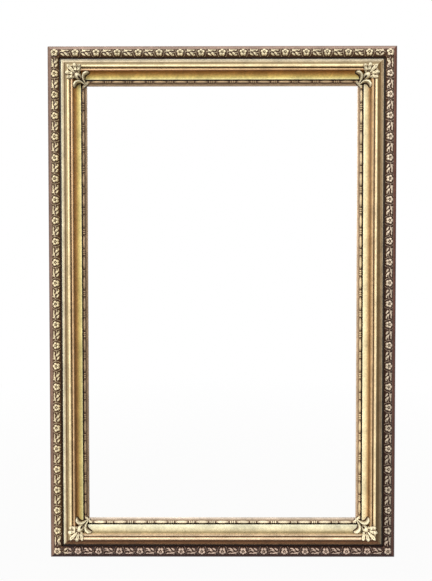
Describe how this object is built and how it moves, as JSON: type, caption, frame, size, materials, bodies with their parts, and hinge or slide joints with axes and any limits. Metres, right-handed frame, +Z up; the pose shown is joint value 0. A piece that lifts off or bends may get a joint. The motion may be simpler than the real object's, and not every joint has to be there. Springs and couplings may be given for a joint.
{
  "type": "ornate gilded frame",
  "caption": "Tall gilded picture or mirror frame: mitred rails with rosette border, cove and acanthus corners, open in the middle, with turn buttons and hanging rings behind.",
  "frame": {"origin": "middle of the frame in the plane of the rails' back faces", "axes": "+X to the viewer's right, +Z up, front faces -Y, +Y toward the wall"},
  "size_m": [0.962, 0.0669, 1.419],
  "materials": {
    "gilded_wood": "worn gilding over red bole on gesso",
    "gilded_composition": "worn gilding, dark in the hollows",
    "hardwood": "bare",
    "brass": "aged",
    "steel": "dulled"
  },
  "bodies": {
    "frame": {"bottom_left_border_corner": "gilded_composition", "bottom_left_corner_ornament": "gilded_composition", "bottom_left_mitre_keys": "hardwood", "bottom_rail": "gilded_wood", "bottom_right_border_corner": "gilded_composition", "bottom_right_corner_ornament": "gilded_composition", "bottom_right_mitre_keys": "hardwood", "bottom_rosette_border": "gilded_composition", "bottom_sight_strip": "gilded_composition", "hanger_screws": "steel", "left_hanger_strap": "brass", "left_rail": "gilded_wood", "left_rosette_border": "gilded_composition", "left_sight_strip": "gilded_composition", "right_hanger_strap": "brass", "right_rail": "gilded_wood", "right_rosette_border": "gilded_composition", "right_sight_strip": "gilded_composition", "top_left_border_corner": "gilded_composition", "top_left_corner_ornament": "gilded_composition", "top_left_mitre_keys": "hardwood", "top_rail": "gilded_wood", "top_right_border_corner": "gilded_composition", "top_right_corner_ornament": "gilded_composition", "top_right_mitre_keys": "hardwood", "top_rosette_border": "gilded_composition", "top_sight_strip": "gilded_composition", "turn_button_screws": "steel"},
    "bottom_turn_button_1": {"bottom_turn_button_1": "brass"},
    "left_hanging_ring": {"left_hanging_ring": "brass"},
    "left_turn_button_1": {"left_turn_button_1": "brass"},
    "left_turn_button_2": {"left_turn_button_2": "brass"},
    "left_turn_button_3": {"left_turn_button_3": "brass"},
    "right_hanging_ring": {"right_hanging_ring": "brass"},
    "right_turn_button_1": {"right_turn_button_1": "brass"},
    "right_turn_button_2": {"right_turn_button_2": "brass"},
    "right_turn_button_3": {"right_turn_button_3": "brass"},
    "top_turn_button_1": {"top_turn_button_1": "brass"}
  },
  "joints": [
    {"name": "bottom_turn_button_1_pivot", "type": "hinge", "parent": "frame", "child": "bottom_turn_button_1", "pos_m": [0, 0.001, -0.6225], "axis": [0, 1, 0], "continuous": true},
    {"name": "left_hanging_ring_swing", "type": "hinge", "parent": "frame", "child": "left_hanging_ring", "pos_m": [-0.441, 0.00397, 0.3795], "axis": [1, 0, 0], "range_deg": [0, 180]},
    {"name": "left_turn_button_1_pivot", "type": "hinge", "parent": "frame", "child": "left_turn_button_1", "pos_m": [-0.394, 0.001, 0.40233], "axis": [0, 1, 0], "continuous": true},
    {"name": "left_turn_button_2_pivot", "type": "hinge", "parent": "frame", "child": "left_turn_button_2", "pos_m": [-0.394, 0.001, 0], "axis": [0, 1, 0], "continuous": true},
    {"name": "left_turn_button_3_pivot", "type": "hinge", "parent": "frame", "child": "left_turn_button_3", "pos_m": [-0.394, 0.001, -0.40233], "axis": [0, 1, 0], "continuous": true},
    {"name": "right_hanging_ring_swing", "type": "hinge", "parent": "frame", "child": "right_hanging_ring", "pos_m": [0.441, 0.00397, 0.3795], "axis": [1, 0, 0], "range_deg": [0, 180]},
    {"name": "right_turn_button_1_pivot", "type": "hinge", "parent": "frame", "child": "right_turn_button_1", "pos_m": [0.394, 0.001, 0.40233], "axis": [0, 1, 0], "continuous": true},
    {"name": "right_turn_button_2_pivot", "type": "hinge", "parent": "frame", "child": "right_turn_button_2", "pos_m": [0.394, 0.001, 0], "axis": [0, 1, 0], "continuous": true},
    {"name": "right_turn_button_3_pivot", "type": "hinge", "parent": "frame", "child": "right_turn_button_3", "pos_m": [0.394, 0.001, -0.40233], "axis": [0, 1, 0], "continuous": true},
    {"name": "top_turn_button_1_pivot", "type": "hinge", "parent": "frame", "child": "top_turn_button_1", "pos_m": [0, 0.001, 0.6225], "axis": [0, 1, 0], "continuous": true}
  ]
}
